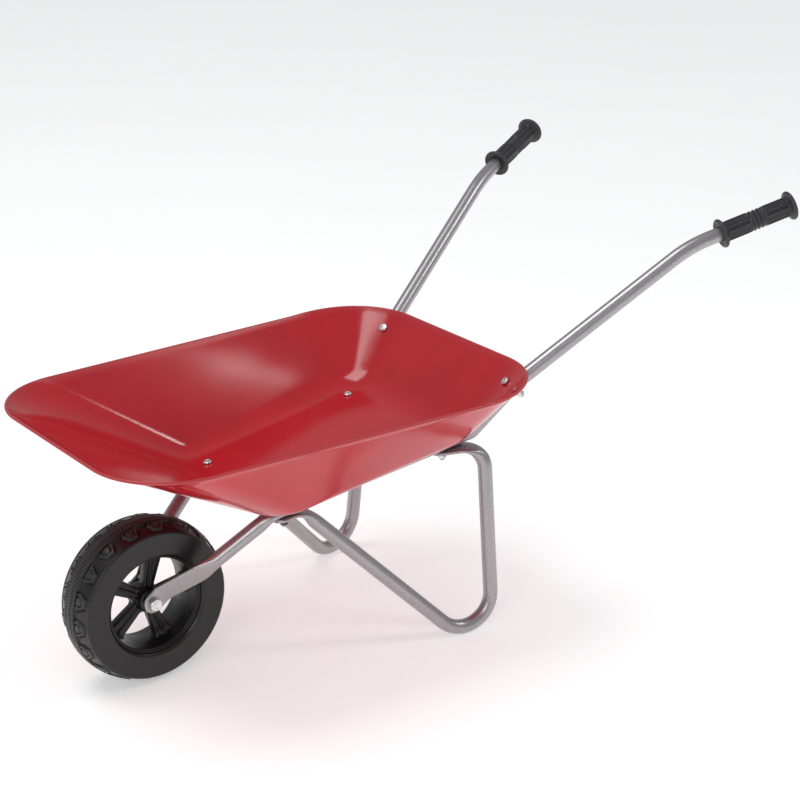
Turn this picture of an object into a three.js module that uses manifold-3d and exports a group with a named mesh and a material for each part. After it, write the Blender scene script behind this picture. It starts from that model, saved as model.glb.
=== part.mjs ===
// A child's metal wheelbarrow: one pressed tray, two bent steel tubes that run from the grips to the axle,
// two bent tube legs and one plastic wheel. Millimetres, +Z up, +X towards the wheel, +Y the user's left.
// The origin is on the ground, below the middle of the overall box.
import * as THREE from 'three';
import { mergeVertices } from 'three/addons/utils/BufferGeometryUtils.js';
import Module from 'manifold-3d';

const wasm = await Module();
wasm.setup();

// ---------- driving dimensions ----------
const GAP = 0.3;                       // clearance left between touching pieces
const AXLE_X = 307.5;                  // from the origin to the axle; inside the model X counts from the axle

const TUBE_R = 8;                      // frame tube, 16 mm outside
const TUBE_SIDES = 16;

const WHEEL_R = 89;                    // crown of the tread, and the height of the axle
const TYRE_HALF = 29;                  // half width of the tyre
const TYRE_BORE = 54.5;
const HUB_R = 13.5;
const HUB_HALF = 15.5;
const SPOKES = 5;
const SPOKE_TURN = THREE.MathUtils.degToRad(104);   // direction of the first spoke, from +X towards +Z
const BUSH_R = 8.5;
const SLEEVE_R = 6;
const SLEEVE_HALF = 16;
const RUNNING = 0.09;                  // clearance of the wheel's bushes on the sleeve, so that the wheel turns
const AXLE_R = 4;

const SHEET = 1.0;                     // tray sheet
const FLOOR_TILT = 0.158;              // rise of the tray floor per mm towards the user
const FLOOR_REF = new THREE.Vector3(-126, 0, 184.4);
const FLOOR = { rear: -350, front: -104, rearHalf: 113, frontHalf: 105, rearR: 34, frontR: 36 };
const RIM = { rear: -411, front: 91, rearHalf: 178, frontHalf: 167, rearR: 88, frontR: 84 };
const RIM_HEIGHT = 284.6;              // rim above the ground over the axle
const RIM_TILT = 0.006;
const LIP_RISE = { from: -300, height: 4.5 };       // extra height that the rim gains at the rear corners
const FLOOR_FILLET = 20;
const BEAD_R = 1.7;                    // rolled edge of the tray
const CORNER_STEPS = 9;

const FLOOR_BOLT_FRONT = { x: -126, y: 72.9 };
const FLOOR_BOLT_REAR = { x: -323.2, y: 86.7 };
const WALL_BOLT = { y: 112, height: 0.77 };       // height as a share of the rear wall
const BOLT_R = 2.5;                    // M5
const HEAD_R = 5;
const HEAD_H = 2.8;
const NUT_FLATS = 8;
const NUT_H = 4.5;
const WASHER_R = 5.5;
const WASHER_H = 1.2;

const PRESS_HALF = 4.5;                // half thickness of the frame tube where it is pressed under the floor
const PLATE_HALF = 2;                  // half thickness of a tube end pressed flat

const GRIP = { length: 89, body: 10.7, flange: 15.8, flangeH: 4.5, wall: 3.5 };
const GRIP_DIR = new THREE.Vector3(-0.897, 0.325, 0.298).normalize();
const GRIP_START = new THREE.Vector3(-623.5, 193, 419.6);   // middle of the grip's inner end

// ---------- materials ----------
const finish = (color, roughness, metalness) => new THREE.MeshStandardMaterial({ color, roughness, metalness });
const RED_PAINT = finish(0xb5202a, 0.25, 0.0);
const SILVER_PAINT = finish(0xa8a4a6, 0.35, 0.6);
const BLACK_RUBBER = finish(0x1d1c1e, 0.65, 0.0);
const BLACK_PLASTIC = finish(0x161517, 0.45, 0.0);
const ZINC = finish(0xd0d0cc, 0.3, 0.9);
const BLACK_STEEL = finish(0x2a2826, 0.5, 0.5);
const GREY_NYLON = finish(0x8a8a88, 0.5, 0.0);

// ---------- solids ----------
const v3 = (x, y, z) => new THREE.Vector3(x, y, z);

function signedVolume(geometry) {
  const p = geometry.attributes.position;
  const index = geometry.index;
  const [a, b, c] = [v3(), v3(), v3()];
  let volume = 0;
  for (let i = 0; i < index.count; i += 3) {
    a.fromBufferAttribute(p, index.getX(i));
    b.fromBufferAttribute(p, index.getX(i + 1));
    c.fromBufferAttribute(p, index.getX(i + 2));
    volume += a.dot(b.cross(c)) / 6;
  }
  return volume;
}

// Bare positions, shared vertices merged, slivers dropped and every face turned outwards.
function closed(geometry) {
  geometry.deleteAttribute('normal');
  geometry.deleteAttribute('uv');
  const merged = mergeVertices(geometry, 1e-4);
  const kept = [];
  const index = merged.index;
  for (let i = 0; i < index.count; i += 3) {
    const [a, b, c] = [index.getX(i), index.getX(i + 1), index.getX(i + 2)];
    if (a !== b && b !== c && c !== a) kept.push(a, b, c);
  }
  merged.setIndex(kept);
  if (signedVolume(merged) < 0) merged.setIndex(kept.reverse());
  return merged;
}

function toSolid(geometry) {
  const shell = closed(geometry);
  const mesh = new wasm.Mesh({
    numProp: 3,
    vertProperties: new Float32Array(shell.attributes.position.array),
    triVerts: new Uint32Array(shell.index.array),
  });
  return new wasm.Manifold(mesh);
}

function fromSolid(solid) {
  const mesh = solid.getMesh();
  const geometry = new THREE.BufferGeometry();
  geometry.setAttribute('position', new THREE.BufferAttribute(mesh.vertProperties, 3));
  geometry.setIndex(new THREE.BufferAttribute(mesh.triVerts, 1));
  return geometry;
}

const drill = (geometry, holes) =>
  fromSolid(holes.reduce((solid, hole) => solid.subtract(toSolid(hole)), toSolid(geometry)));

const join = (first, ...others) =>
  fromSolid(others.reduce((solid, other) => solid.add(toSolid(other)), toSolid(first)));

function part(name, geometry, material) {
  const mesh = new THREE.Mesh(closed(geometry), material);
  mesh.name = name;
  return mesh;
}

// Moves a piece that was drawn on the Y axis so that it stands at a point and points along a direction.
function stand(piece, point, direction) {
  piece.quaternion.setFromUnitVectors(v3(0, 1, 0), direction.clone().normalize());
  piece.position.copy(point);
  return piece;
}

function pin(radius, from, to, sides = 20) {
  const axis = to.clone().sub(from);
  const geometry = new THREE.CylinderGeometry(radius, radius, axis.length(), sides);
  const turn = new THREE.Quaternion().setFromUnitVectors(v3(0, 1, 0), axis.clone().normalize());
  geometry.applyQuaternion(turn);
  const middle = from.clone().add(to).multiplyScalar(0.5);
  return geometry.translate(middle.x, middle.y, middle.z);
}

// A flat plate with a round hole, lying from y = 0 to y = height.
function holedPlate(outline, holeR, height) {
  outline.holes.push(new THREE.Path().absarc(0, 0, holeR, 0, 2 * Math.PI));
  const geometry = new THREE.ExtrudeGeometry(outline, { depth: height, bevelEnabled: false, curveSegments: 8 });
  return geometry.rotateX(-Math.PI / 2);
}

const disc = (radius) => new THREE.Shape().absarc(0, 0, radius, 0, 2 * Math.PI);

function hexagon(flats) {
  const points = [0, 1, 2, 3, 4, 5].map((k) => {
    const angle = (k * Math.PI) / 3;
    return new THREE.Vector2(Math.cos(angle), Math.sin(angle)).multiplyScalar(flats / Math.sqrt(3));
  });
  return new THREE.Shape(points);
}

const washer = (outerR, holeR, height) => holedPlate(disc(outerR), holeR, height);
const nut = (flats, holeR, height) => holedPlate(hexagon(flats), holeR, height);

// Rings of the same number of points, joined by side faces and closed by a flat fan at each end.
function loft(rings) {
  const n = rings[0].length;
  const points = rings.flat();
  const faces = [];
  for (let i = 0; i + 1 < rings.length; i++) {
    for (let k = 0; k < n; k++) {
      const [a, b] = [i * n + k, i * n + ((k + 1) % n)];
      faces.push(a, b, a + n, b, b + n, a + n);
    }
  }
  [0, rings.length - 1].forEach((i, end) => {
    const middle = rings[i].reduce((sum, p) => sum.add(p), v3(0, 0, 0)).divideScalar(n);
    const centre = points.push(middle) - 1;
    for (let k = 0; k < n; k++) {
      const [a, b] = [i * n + k, i * n + ((k + 1) % n)];
      faces.push(...(end ? [a, b, centre] : [b, a, centre]));
    }
  });
  const geometry = new THREE.BufferGeometry().setFromPoints(points);
  geometry.setIndex(faces);
  return geometry;
}

// ---------- bent tubes ----------
// A centre line of straight runs with a round bend at each inner corner.
function bentLine(corners) {
  const line = [corners[0].at.clone()];
  for (let i = 1; i + 1 < corners.length; i++) {
    const { at, bend } = corners[i];
    const back = corners[i - 1].at.clone().sub(at).normalize();
    const ahead = corners[i + 1].at.clone().sub(at).normalize();
    const half = back.angleTo(ahead) / 2;
    const bisector = back.clone().add(ahead).normalize();
    const centre = at.clone().addScaledVector(bisector, bend / Math.sin(half));
    const start = at.clone().addScaledVector(back, bend / Math.tan(half)).sub(centre);
    const normal = back.clone().cross(start).normalize();
    const sweep = Math.PI - 2 * half;
    const steps = Math.max(2, Math.round(sweep / 0.2));
    for (let k = 0; k <= steps; k++) {
      line.push(start.clone().applyAxisAngle(normal, (sweep * k) / steps).add(centre));
    }
  }
  line.push(corners.at(-1).at.clone());
  return line;
}

// Distances of the line's points from its start.
const mileage = (line) => line.map(((sum) => (p, i) => (sum += i ? p.distanceTo(line[i - 1]) : 0))(0));

function pointAt(line, miles, s) {
  let i = 1;
  while (i < line.length - 1 && miles[i] < s) i++;
  const share = (s - miles[i - 1]) / (miles[i] - miles[i - 1]);
  return line[i - 1].clone().lerp(line[i], share);
}

function nearestMile(line, miles, point) {
  const total = miles.at(-1);
  const near = (s) => pointAt(line, miles, s).distanceTo(point);
  const tries = Array.from({ length: 400 }, (_, k) => (total * k) / 399);
  return tries.reduce((best, s) => (near(s) < near(best) ? s : best));
}

const smooth = (t) => THREE.MathUtils.smoothstep(t, 0, 1);

// The across and thickness directions of the section at each station. Beside a press they follow its normal;
// between two presses they turn evenly from one to the next.
function sectionTurns(line, miles, stations, spots) {
  const total = miles.at(-1);
  const plain = [];
  let up = v3(0.3, 0.5, 0.81);
  for (const s of stations) {
    const ahead = pointAt(line, miles, Math.min(total, s + 0.6));
    const tangent = ahead.sub(pointAt(line, miles, Math.max(0, s - 0.6))).normalize();
    up = up.clone().addScaledVector(tangent, -up.dot(tangent)).normalize();
    plain.push({ s, up, left: tangent.clone().cross(up), tangent });
  }
  const known = [];
  plain.forEach(({ s, up: a, left: b }, i) => {
    const spot = spots.find(({ mile, flat, blend }) => Math.abs(s - mile) <= flat + 0.5 * blend);
    if (!spot) return;
    let angle = Math.atan2(spot.normal.dot(b), spot.normal.dot(a));
    if (known.length) angle -= Math.PI * Math.round((angle - known.at(-1).angle) / Math.PI);
    known.push({ i, s, angle });
  });
  return plain.map(({ s, up: a, left: b, tangent }, i) => {
    const next = known.findIndex((k) => k.i >= i);
    const after = known[next] ?? known.at(-1);
    const before = known[Math.max(0, next < 0 ? known.length - 1 : next - 1)];
    const share = after.s > before.s ? THREE.MathUtils.clamp((s - before.s) / (after.s - before.s), 0, 1) : 0;
    const angle = after.i === i ? after.angle : before.angle + (after.angle - before.angle) * share;
    const normal = a.clone().multiplyScalar(Math.cos(angle)).addScaledVector(b, Math.sin(angle));
    return { normal, side: tangent.clone().cross(normal) };
  });
}

// A bent tube. Each press squeezes it near a point: to a half thickness, across a normal, over a flat length
// that fades out over a blend length. Its outline keeps the tube's girth, and a bias of 1 keeps the side that
// the normal points to where it was. A rounded end is a plate end with a half-round outline.
function bentTube(corners, presses, roundedEnds) {
  const line = bentLine(corners);
  const miles = mileage(line);
  const total = miles.at(-1);
  const spots = presses.map((press) => ({ ...press, mile: nearestMile(line, miles, press.at) }));
  const stations = new Set(miles);
  for (const { mile, flat, blend } of spots) {
    [0, 0.25, 0.5, 0.75, 1].forEach((t) => stations.add(mile - flat - blend * t).add(mile + flat + blend * t));
  }
  const plateHalf = PLATE_HALF + (Math.PI / 2) * (TUBE_R - PLATE_HALF);
  const endSteps = [0.05, 0.3, 0.8, 0.999].map((t) => plateHalf * (1 - Math.cos((t * Math.PI) / 2)));
  if (roundedEnds.includes('start')) endSteps.forEach((d) => stations.add(d));
  if (roundedEnds.includes('end')) endSteps.forEach((d) => stations.add(total - d));
  const inside = [...stations].filter((s) => s >= 0 && s <= total).sort((a, b) => a - b);
  const miles2 = inside.filter((s, i) => i === 0 || s - inside[i - 1] > 0.4 || s === total);
  const tidy = miles2.filter((s, i) => i === miles2.length - 1 || miles2[i + 1] - s > 0.4);

  const turns = sectionTurns(line, miles, tidy, spots);
  const rings = tidy.map((s, i) => {
    let half = TUBE_R;
    const middle = pointAt(line, miles, s);
    for (const spot of spots) {
      const press = 1 - smooth((Math.abs(s - spot.mile) - spot.flat) / spot.blend);
      half = Math.min(half, TUBE_R - (TUBE_R - spot.half) * press);
      middle.addScaledVector(spot.normal, (spot.bias ?? 0) * (TUBE_R - spot.half) * press);
    }
    let wide = half + (Math.PI / 2) * (TUBE_R - half);
    const fromStart = roundedEnds.includes('start') ? s : total;
    const endGap = Math.min(fromStart, roundedEnds.includes('end') ? total - s : total);
    if (endGap < wide) wide *= Math.sqrt(Math.max(0.02, 1 - (1 - endGap / wide) ** 2));
    const thick = Math.min(half, wide);
    const { side, normal } = turns[i];
    return Array.from({ length: TUBE_SIDES }, (_, k) => {
      const angle = ((k + 0.5) * 2 * Math.PI) / TUBE_SIDES;
      const across = Math.sign(Math.cos(angle)) * (wide - thick) + thick * Math.cos(angle);
      return middle.clone().addScaledVector(side, across).addScaledVector(normal, thick * Math.sin(angle));
    });
  });
  return loft(rings);
}

// ---------- tray ----------
const FLOOR_UP = v3(FLOOR_TILT, 0, 1).normalize();
const floorZ = (x) => FLOOR_REF.z - FLOOR_TILT * (x - FLOOR_REF.x);

function rimZ(x) {
  const rise = smooth((LIP_RISE.from - x) / (LIP_RISE.from - RIM.rear));
  return RIM_HEIGHT - RIM_TILT * x + LIP_RISE.height * rise;
}

// A rounded rectangle as points with their outward directions. It starts in the middle of the rear edge
// and runs by the user's left.
function outlineOf(box) {
  const corners = [
    { x: box.rear + box.rearR, y: box.rearHalf - box.rearR, r: box.rearR, from: Math.PI },
    { x: box.front - box.frontR, y: box.frontHalf - box.frontR, r: box.frontR, from: Math.PI / 2 },
  ];
  const half = corners.flatMap(({ x, y, r, from }) =>
    Array.from({ length: CORNER_STEPS + 1 }, (_, k) => {
      const angle = from - ((Math.PI / 2) * k) / CORNER_STEPS;
      const out = v3(Math.cos(angle), Math.sin(angle), 0);
      return { at: v3(x, y, 0).addScaledVector(out, r), out };
    }));
  const otherHalf = half.map(({ at, out }) => ({ at: v3(at.x, -at.y, 0), out: v3(out.x, -out.y, 0) })).reverse();
  return [...half, ...otherHalf];
}

// The wall over each point of the outline: its foot on the floor plane, its top at the rim.
const WALLS = (() => {
  const feet = outlineOf(FLOOR);
  const tops = outlineOf(RIM);
  return feet.map(({ at, out }, i) => {
    const foot = v3(at.x, at.y, floorZ(at.x));
    const top = v3(tops[i].at.x, tops[i].at.y, rimZ(tops[i].at.x));
    const up = top.clone().sub(foot).normalize();
    const flare = up.dot(out);
    const skin = out.clone().multiplyScalar(up.z).addScaledVector(v3(0, 0, 1), -flare).normalize();
    return { foot, top, up, out, skin };
  });
})();

function tray() {
  const fold = (a, corner, b, t) => a.clone().lerp(corner, t).lerp(corner.clone().lerp(b, t), t);
  const rings = [];
  const addRing = (pointOf) => rings.push(WALLS.map(pointOf));
  const innerSkin = ({ foot, up, out }, t) => {
    const start = foot.clone().addScaledVector(out, -FLOOR_FILLET);
    start.z = floorZ(start.x);
    return fold(start, foot, foot.clone().addScaledVector(up, FLOOR_FILLET), t);
  };
  const outerSkin = ({ foot, up, out, skin }, t) => {
    const start = foot.clone().addScaledVector(out, -FLOOR_FILLET);
    start.z = floorZ(start.x);
    start.addScaledVector(FLOOR_UP, -SHEET);
    const end = foot.clone().addScaledVector(up, FLOOR_FILLET).addScaledVector(skin, SHEET);
    const spread = (SHEET * (1 - up.dot(out))) / up.z;
    const corner = foot.clone().addScaledVector(FLOOR_UP, -SHEET).addScaledVector(out, spread);
    return fold(start, corner, end, t);
  };
  const steps = [0, 0.25, 0.5, 0.75, 1];
  steps.forEach((t) => addRing((wall) => innerSkin(wall, t)));
  addRing(({ top }) => top.clone());
  const bead = ({ top, out }, degrees) => {
    const angle = THREE.MathUtils.degToRad(degrees);
    const centre = top.clone().addScaledVector(out, BEAD_R + 0.4);
    return centre.addScaledVector(out, BEAD_R * Math.cos(angle)).add(v3(0, 0, BEAD_R * Math.sin(angle)));
  };
  [130, 80, 30, -20, -70, -110].forEach((degrees) => addRing((wall) => bead(wall, degrees)));
  addRing(({ top, up, skin }) => top.clone().addScaledVector(up, -2 * BEAD_R).addScaledVector(skin, SHEET));
  steps.reverse().forEach((t) => addRing((wall) => outerSkin(wall, t)));
  return loft(rings);
}

// ---------- bolted joints ----------
// A point on the rear wall's inner face, on the user's left, at a given sideways distance.
function wallSpot(y, height) {
  const arc = WALLS.slice(0, CORNER_STEPS + 1).map((wall) => ({
    ...wall,
    spot: wall.foot.clone().lerp(wall.top, height),
  }));
  const i = arc.findIndex(({ spot }, k) => k > 0 && spot.y >= y);
  const share = (y - arc[i - 1].spot.y) / (arc[i].spot.y - arc[i - 1].spot.y);
  return {
    at: arc[i - 1].spot.clone().lerp(arc[i].spot, share),
    out: arc[i - 1].skin.clone().lerp(arc[i].skin, share).normalize(),
  };
}

const toSide = (point, side) => v3(point.x, side * point.y, point.z);
const floorSpot = ({ x, y }) => v3(x, y, floorZ(x));
const belowFloor = ({ x, y }, depth) => floorSpot({ x, y }).addScaledVector(FLOOR_UP, -depth);

const TUBE_TOP = SHEET + GAP;                              // from the floor's face down to the frame tube
const PLATE_MIDDLE = TUBE_TOP + 2 * PRESS_HALF + GAP + PLATE_HALF;
const WASHER_TOP = PLATE_MIDDLE + PLATE_HALF + GAP;
const WALL_SPOT = wallSpot(WALL_BOLT.y, WALL_BOLT.height);
const WALL_TUBE = SHEET + GAP + TUBE_R;                    // from the wall's face out to the tube's centre

// Each bolt on the user's left: the middle of its head's seat, the direction from head to nut, how deep the
// washer and the nut sit, and how far a head on the curved wall stands off it.
const BOLTS = {
  floor_front: { at: floorSpot(FLOOR_BOLT_FRONT), into: FLOOR_UP.clone().negate(), grip: WASHER_TOP },
  floor_rear: { at: floorSpot(FLOOR_BOLT_REAR), into: FLOOR_UP.clone().negate(), grip: WASHER_TOP },
  wall: { at: WALL_SPOT.at, into: WALL_SPOT.out, grip: WALL_TUBE + TUBE_R + 1.2, lift: 0.3 },
};
const BOLT_TAIL = 3;

function boltBore({ at, into, grip }, side) {
  const from = toSide(at.clone().addScaledVector(into, -10), side);
  const to = toSide(at.clone().addScaledVector(into, grip + 12), side);
  return pin(BOLT_R + GAP, from, to, 16);
}

function panHeadBolt(length, seat) {
  const top = seat + HEAD_H;
  const profile = [
    [0, -length], [BOLT_R - 0.6, -length], [BOLT_R, 0.6 - length], [BOLT_R, seat],
    [HEAD_R, seat], [HEAD_R, top - 1.5], [0.8 * HEAD_R, top - 0.5], [0.4 * HEAD_R, top], [0, top],
  ];
  return new THREE.LatheGeometry(profile.map(([r, y]) => new THREE.Vector2(r, y)), 16);
}

function boltSet(place, bolt, side, sideName, nutMaterial) {
  const out = toSide(bolt.into.clone().negate(), side);
  const depth = (d) => toSide(bolt.at.clone().addScaledVector(bolt.into, d), side);
  const length = bolt.grip + WASHER_H + GAP + NUT_H + BOLT_TAIL;
  const screw = panHeadBolt(length, GAP + (bolt.lift ?? 0));
  const head = stand(part(`${place}_bolt_${sideName}`, screw, ZINC), depth(0), out);
  const ring = part(`${place}_washer_${sideName}`, washer(WASHER_R, BOLT_R + GAP, WASHER_H), ZINC);
  const hex = part(`${place}_nut_${sideName}`, nut(NUT_FLATS, BOLT_R + GAP, NUT_H), nutMaterial);
  stand(ring, depth(bolt.grip + WASHER_H), out);
  stand(hex, depth(bolt.grip + WASHER_H + GAP + NUT_H), out);
  return [head, ring, hex];
}

// ---------- frame tubes ----------
const PLATE_Y = SLEEVE_HALF + GAP + 1 + GAP + PLATE_HALF;  // middle of the pressed end beside the hub
const AXLE_AT = v3(0, 0, WHEEL_R);
const END_REACH = 11.4;                                    // from a bolt's middle to the end of a pressed plate

function handleTube(side) {
  const gripBend = GRIP_START.clone().addScaledVector(GRIP_DIR, -36);
  const wallBend = WALL_SPOT.at.clone().addScaledVector(WALL_SPOT.out, WALL_TUBE);
  const frontEnd = v3(0.8 * END_REACH, PLATE_Y, WHEEL_R - 0.6 * END_REACH);
  const rearCorner = belowFloor({ x: -354, y: 89.5 }, TUBE_TOP + TUBE_R);
  const alongWall = gripBend.clone().sub(rearCorner).projectOnPlane(WALL_SPOT.out).normalize();
  const corners = [
    { at: GRIP_START.clone().addScaledVector(GRIP_DIR, GRIP.length - GRIP.wall - 2) },
    { at: gripBend, bend: 150 },
    { at: wallBend.clone().addScaledVector(alongWall, 2), bend: 24 },
    { at: wallBend.clone().addScaledVector(alongWall, -16), bend: 24 },
    { at: rearCorner, bend: 34 },
    { at: belowFloor({ x: -106, y: 70.3 }, TUBE_TOP + TUBE_R), bend: 40 },
    { at: v3(-42, 47.5, 123), bend: 30 },
    { at: v3(-10.5, PLATE_Y, WHEEL_R + 7.9), bend: 8 },
    { at: frontEnd },
  ].map(({ at, bend }) => ({ at: toSide(at, side), bend }));
  const underFloor = toSide(belowFloor({ x: -231, y: 80.3 }, TUBE_TOP + TUBE_R), side);
  const presses = [
    { at: underFloor, normal: FLOOR_UP, half: PRESS_HALF, flat: 118, blend: 16, bias: 1 },
    { at: toSide(frontEnd, side), normal: v3(0, side, 0), half: PLATE_HALF, flat: 68, blend: 30 },
  ];
  const holes = Object.values(BOLTS).map((bolt) => boltBore(bolt, side));
  holes.push(pin(AXLE_R + GAP, v3(0, 0, WHEEL_R), v3(0, side * 60, WHEEL_R)));
  return drill(bentTube(corners, presses, ['end']), holes);
}

function leg(side) {
  const frontPlate = belowFloor(FLOOR_BOLT_FRONT, PLATE_MIDDLE);
  const rearPlate = belowFloor(FLOOR_BOLT_REAR, PLATE_MIDDLE);
  const topCorner = belowFloor({ x: -361.9, y: 112 }, PLATE_MIDDLE);
  const foot = v3(-358.7, 141.6, -41.85);
  const rearDir = rearPlate.clone().sub(topCorner).normalize();
  const frontKnee = belowFloor({ x: -147, y: 74 }, PLATE_MIDDLE);
  const frontDir = frontPlate.clone().sub(frontKnee).normalize();
  const frontEnd = frontPlate.clone().addScaledVector(frontDir, END_REACH);
  const rearEnd = rearPlate.clone().addScaledVector(rearDir, END_REACH);
  const corners = [
    { at: frontEnd },
    { at: frontKnee, bend: 24 },
    { at: foot, bend: 35.2 },
    { at: topCorner, bend: 24 },
    { at: rearEnd },
  ].map(({ at, bend }) => ({ at: toSide(at, side), bend }));
  const presses = [
    { at: toSide(frontPlate, side), normal: FLOOR_UP, half: PLATE_HALF, flat: 13, blend: 30 },
    { at: toSide(rearPlate, side), normal: FLOOR_UP, half: PLATE_HALF, flat: 26, blend: 22 },
  ];
  const holes = [BOLTS.floor_front, BOLTS.floor_rear].map((bolt) => boltBore(bolt, side));
  return drill(bentTube(corners, presses, ['start', 'end']), holes);
}

function grip(side) {
  const { length, body, flange, flangeH, wall } = GRIP;
  const bore = TUBE_R + GAP;
  const waist = body - 0.8;
  const profile = [
    [bore, 0], [flange - 1.5, 0], [flange, 1.2], [flange, flangeH - 1.2], [flange - 1.5, flangeH],
    [body + 1, flangeH + 1], [body, flangeH + 3], [body, 0.42 * length], [waist, 0.44 * length],
    [waist, 0.56 * length], [body, 0.58 * length], [body, length - flangeH - 3], [body + 1, length - flangeH - 1],
    [flange - 1.5, length - flangeH], [flange, length - flangeH + 1.2], [flange, length - 1.2],
    [flange - 1.5, length], [0, length], [0, length - wall], [bore, length - wall],
  ];
  const outline = profile.map(([r, y]) => new THREE.Vector2(r, y));
  // The profile starts and ends on the bore, so it closes on itself there; the blind end lies on the axis.
  const blind = outline.findIndex((p) => p.x === 0);
  const opened = [...outline.slice(blind + 1), ...outline.slice(0, blind + 1)];
  const geometry = new THREE.LatheGeometry(opened, 24);
  return stand(part(`grip_${side > 0 ? 'left' : 'right'}`, geometry, BLACK_RUBBER),
    toSide(GRIP_START, side), toSide(GRIP_DIR, side));
}

// ---------- wheel ----------
const ringOf = (profile, sides) =>
  new THREE.LatheGeometry([...profile, profile[0]].map(([r, y]) => new THREE.Vector2(r, y)), sides);

function mirrored(halfProfile) {
  return [...halfProfile, ...halfProfile.map(([r, y]) => [r, -y]).reverse()];
}

function tyre() {
  const half = [
    [TYRE_BORE, 24.5], [TYRE_BORE + 2.5, TYRE_HALF], [80.5, TYRE_HALF], [82, 28], [84.8, 22.5],
    [86.4, 15.5], [85, 14.5], [85, 12.5], [88, 11.5], [WHEEL_R, 4],
  ];
  return ringOf(mirrored(half), 56);
}

function wheelRim() {
  const barrelR = TYRE_BORE - GAP;
  const barrel = mirrored([
    [47.5, 5], [49, 14], [50.2, 21], [51.4, 21.6], [51.6, 23.4], [52.8, 23.9], [53, 25.4], [barrelR, 25.4],
  ].reverse());
  const hub = mirrored([
    [HUB_R - 1, HUB_HALF], [HUB_R, HUB_HALF - 1], [HUB_R + 1.5, 4],
  ].reverse());
  const hubProfile = [[BUSH_R + GAP, -HUB_HALF], ...hub.slice().reverse(), [BUSH_R + GAP, HUB_HALF]];
  const spokes = Array.from({ length: SPOKES }, (_, k) => {
    const outline = new THREE.Shape([[HUB_R - 2, -5.5], [49.5, -10], [49.5, 10], [HUB_R - 2, 5.5]]
      .map(([x, y]) => new THREE.Vector2(x, y)));
    const spoke = new THREE.ExtrudeGeometry(outline, { depth: 12, bevelEnabled: false });
    spoke.translate(0, 0, -6).rotateX(Math.PI / 2);
    return spoke.rotateY(-SPOKE_TURN - (2 * Math.PI * k) / SPOKES);
  });
  return join(ringOf(barrel, 56), ringOf(hubProfile, 32), ...spokes);
}

function bush(side) {
  const flange = HUB_HALF;
  const bore = SLEEVE_R + RUNNING;
  const profile = [[bore, flange], [BUSH_R, flange], [BUSH_R, flange - 11], [bore, flange - 11]];
  return ringOf(profile.map(([r, y]) => [r, side * y]), 32);
}

function axleBolt() {
  const seat = PLATE_Y + PLATE_HALF + GAP;
  const head = new THREE.CylinderGeometry(7.4, 7.4, 5, 6).translate(0, seat + 2.5, 0);
  const dome = new THREE.CylinderGeometry(5.6, 6.4, 0.6, 24).translate(0, seat + 5.2, 0);
  const shank = pin(AXLE_R, v3(0, seat + 1, 0), v3(0, -seat - 9, 0));
  return join(head, dome, shank);
}

function wheelSet() {
  const seat = PLATE_Y + PLATE_HALF + GAP;
  const pieces = [
    part('tyre', tyre(), BLACK_RUBBER),
    part('wheel_rim', wheelRim(), BLACK_PLASTIC),
    part('hub_bush_left', bush(1), GREY_NYLON),
    part('hub_bush_right', bush(-1), GREY_NYLON),
    part('axle_sleeve', ringOf([[AXLE_R + GAP, SLEEVE_HALF], [SLEEVE_R, SLEEVE_HALF],
      [SLEEVE_R, -SLEEVE_HALF], [AXLE_R + GAP, -SLEEVE_HALF]], 32), ZINC),
    part('axle_bolt', axleBolt(), ZINC),
    part('axle_nut', nut(13, AXLE_R + GAP, 6.5).translate(0, -seat - 6.5, 0), ZINC),
    part('axle_washer_left', washer(8, AXLE_R + GAP, 1).translate(0, SLEEVE_HALF + GAP, 0), ZINC),
    part('axle_washer_right', washer(8, AXLE_R + GAP, 1).translate(0, -SLEEVE_HALF - GAP - 1, 0), ZINC),
  ];
  pieces.forEach((piece) => piece.position.copy(AXLE_AT));
  return pieces;
}

// ---------- assembly ----------
const barrow = new THREE.Group();
const trayHoles = [1, -1].flatMap((side) => Object.values(BOLTS).map((bolt) => boltBore(bolt, side)));
barrow.add(part('tray', drill(tray(), trayHoles), RED_PAINT));
for (const [side, sideName] of [[1, 'left'], [-1, 'right']]) {
  barrow.add(part(`handle_tube_${sideName}`, handleTube(side), SILVER_PAINT));
  barrow.add(part(`leg_${sideName}`, leg(side), SILVER_PAINT));
  barrow.add(grip(side));
  barrow.add(...boltSet('floor_front', BOLTS.floor_front, side, sideName, BLACK_STEEL));
  barrow.add(...boltSet('floor_rear', BOLTS.floor_rear, side, sideName, ZINC));
  barrow.add(...boltSet('wall', BOLTS.wall, side, sideName, ZINC));
}
barrow.add(...wheelSet());
barrow.position.x = AXLE_X;

const model = new THREE.Group();
model.add(barrow);
export default model;
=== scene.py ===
# %% [markdown]
# # A child's wheelbarrow
#
# A pressed red tray sits on two bent steel tubes that run from the grips to the axle, with two tube loops
# for legs and a moulded black wheel. The measured model of it is loaded first and never moved. Each step
# after that makes one real piece finer than the measured one, in the same place, and gives it its finish.

# %% Load the measured model
import math

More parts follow.
